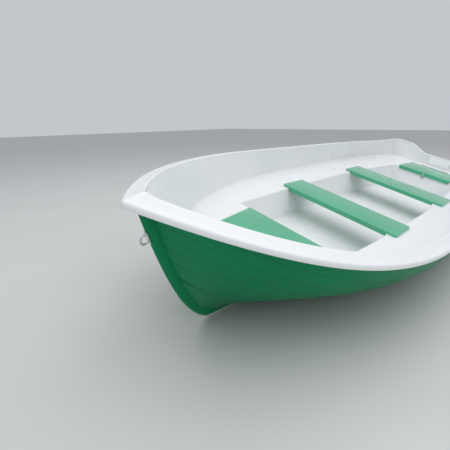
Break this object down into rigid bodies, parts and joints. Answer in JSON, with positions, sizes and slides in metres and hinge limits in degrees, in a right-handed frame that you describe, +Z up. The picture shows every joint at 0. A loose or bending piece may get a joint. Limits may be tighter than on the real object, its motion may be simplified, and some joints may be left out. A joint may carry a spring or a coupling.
{
  "type": "rowing boat",
  "caption": "Open clinker-look moulded rowing boat with a raked bow, a white inner moulding with side benches, cross seats, a hinged stern seat over a locker, and a low transom.",
  "frame": {"origin": "on the floor under the middle of the boat's box, with the boat laid as it parks ashore on its keel and its port bilge", "axes": "+X towards the bow, +Y to port, +Z up; the boat heels 15.2 degrees to port about X"},
  "size_m": [4.5427, 1.5597, 0.7923],
  "materials": {
    "green_gelcoat": "gloss",
    "seat_green": "satin",
    "white_gelcoat": "gloss",
    "stainless": "satin",
    "black_plastic": "matte",
    "pad_ply": "varnished"
  },
  "bodies": {
    "boat": {"hull_planking": "green_gelcoat", "keel_bar": "green_gelcoat", "stem_band": "green_gelcoat", "transom_panel": "green_gelcoat", "transom_inner": "white_gelcoat", "transom_cap": "white_gelcoat", "gunwale_rim_port": "white_gelcoat", "gunwale_rim_starboard": "white_gelcoat", "side_lining_port": "white_gelcoat", "side_lining_starboard": "white_gelcoat", "bench_port": "white_gelcoat", "bench_starboard": "white_gelcoat", "bow_deck": "white_gelcoat", "stern_deck": "white_gelcoat", "seat_back_board": "seat_green", "well_side_port": "white_gelcoat", "well_side_starboard": "white_gelcoat", "well_front_wall": "white_gelcoat", "locker_front": "white_gelcoat", "well_floor": "white_gelcoat", "bow_seat": "seat_green", "thwart_forward": "seat_green", "thwart_aft": "seat_green", "deck_hinge_leaf": "stainless", "hinge_pin": "stainless", "latch_keeper": "stainless", "rowlock_socket_port": "stainless", "rowlock_socket_starboard": "stainless", "motor_pad_inner": "white_gelcoat", "motor_pad_outer": "pad_ply", "bow_eye": "stainless", "bow_eye_plate": "stainless"},
    "stern_seat_lid": {"stern_seat": "seat_green", "seat_hinge_leaf": "stainless", "latch_strap": "stainless", "latch_knob": "black_plastic"}
  },
  "joints": [
    {"name": "stern_seat_hinge", "type": "hinge", "parent": "boat", "child": "stern_seat_lid", "pos_m": [-2.08522, -0.03868, 0.4067], "axis": [0, -0.9648, 0.263], "range_deg": [0, 100]}
  ]
}
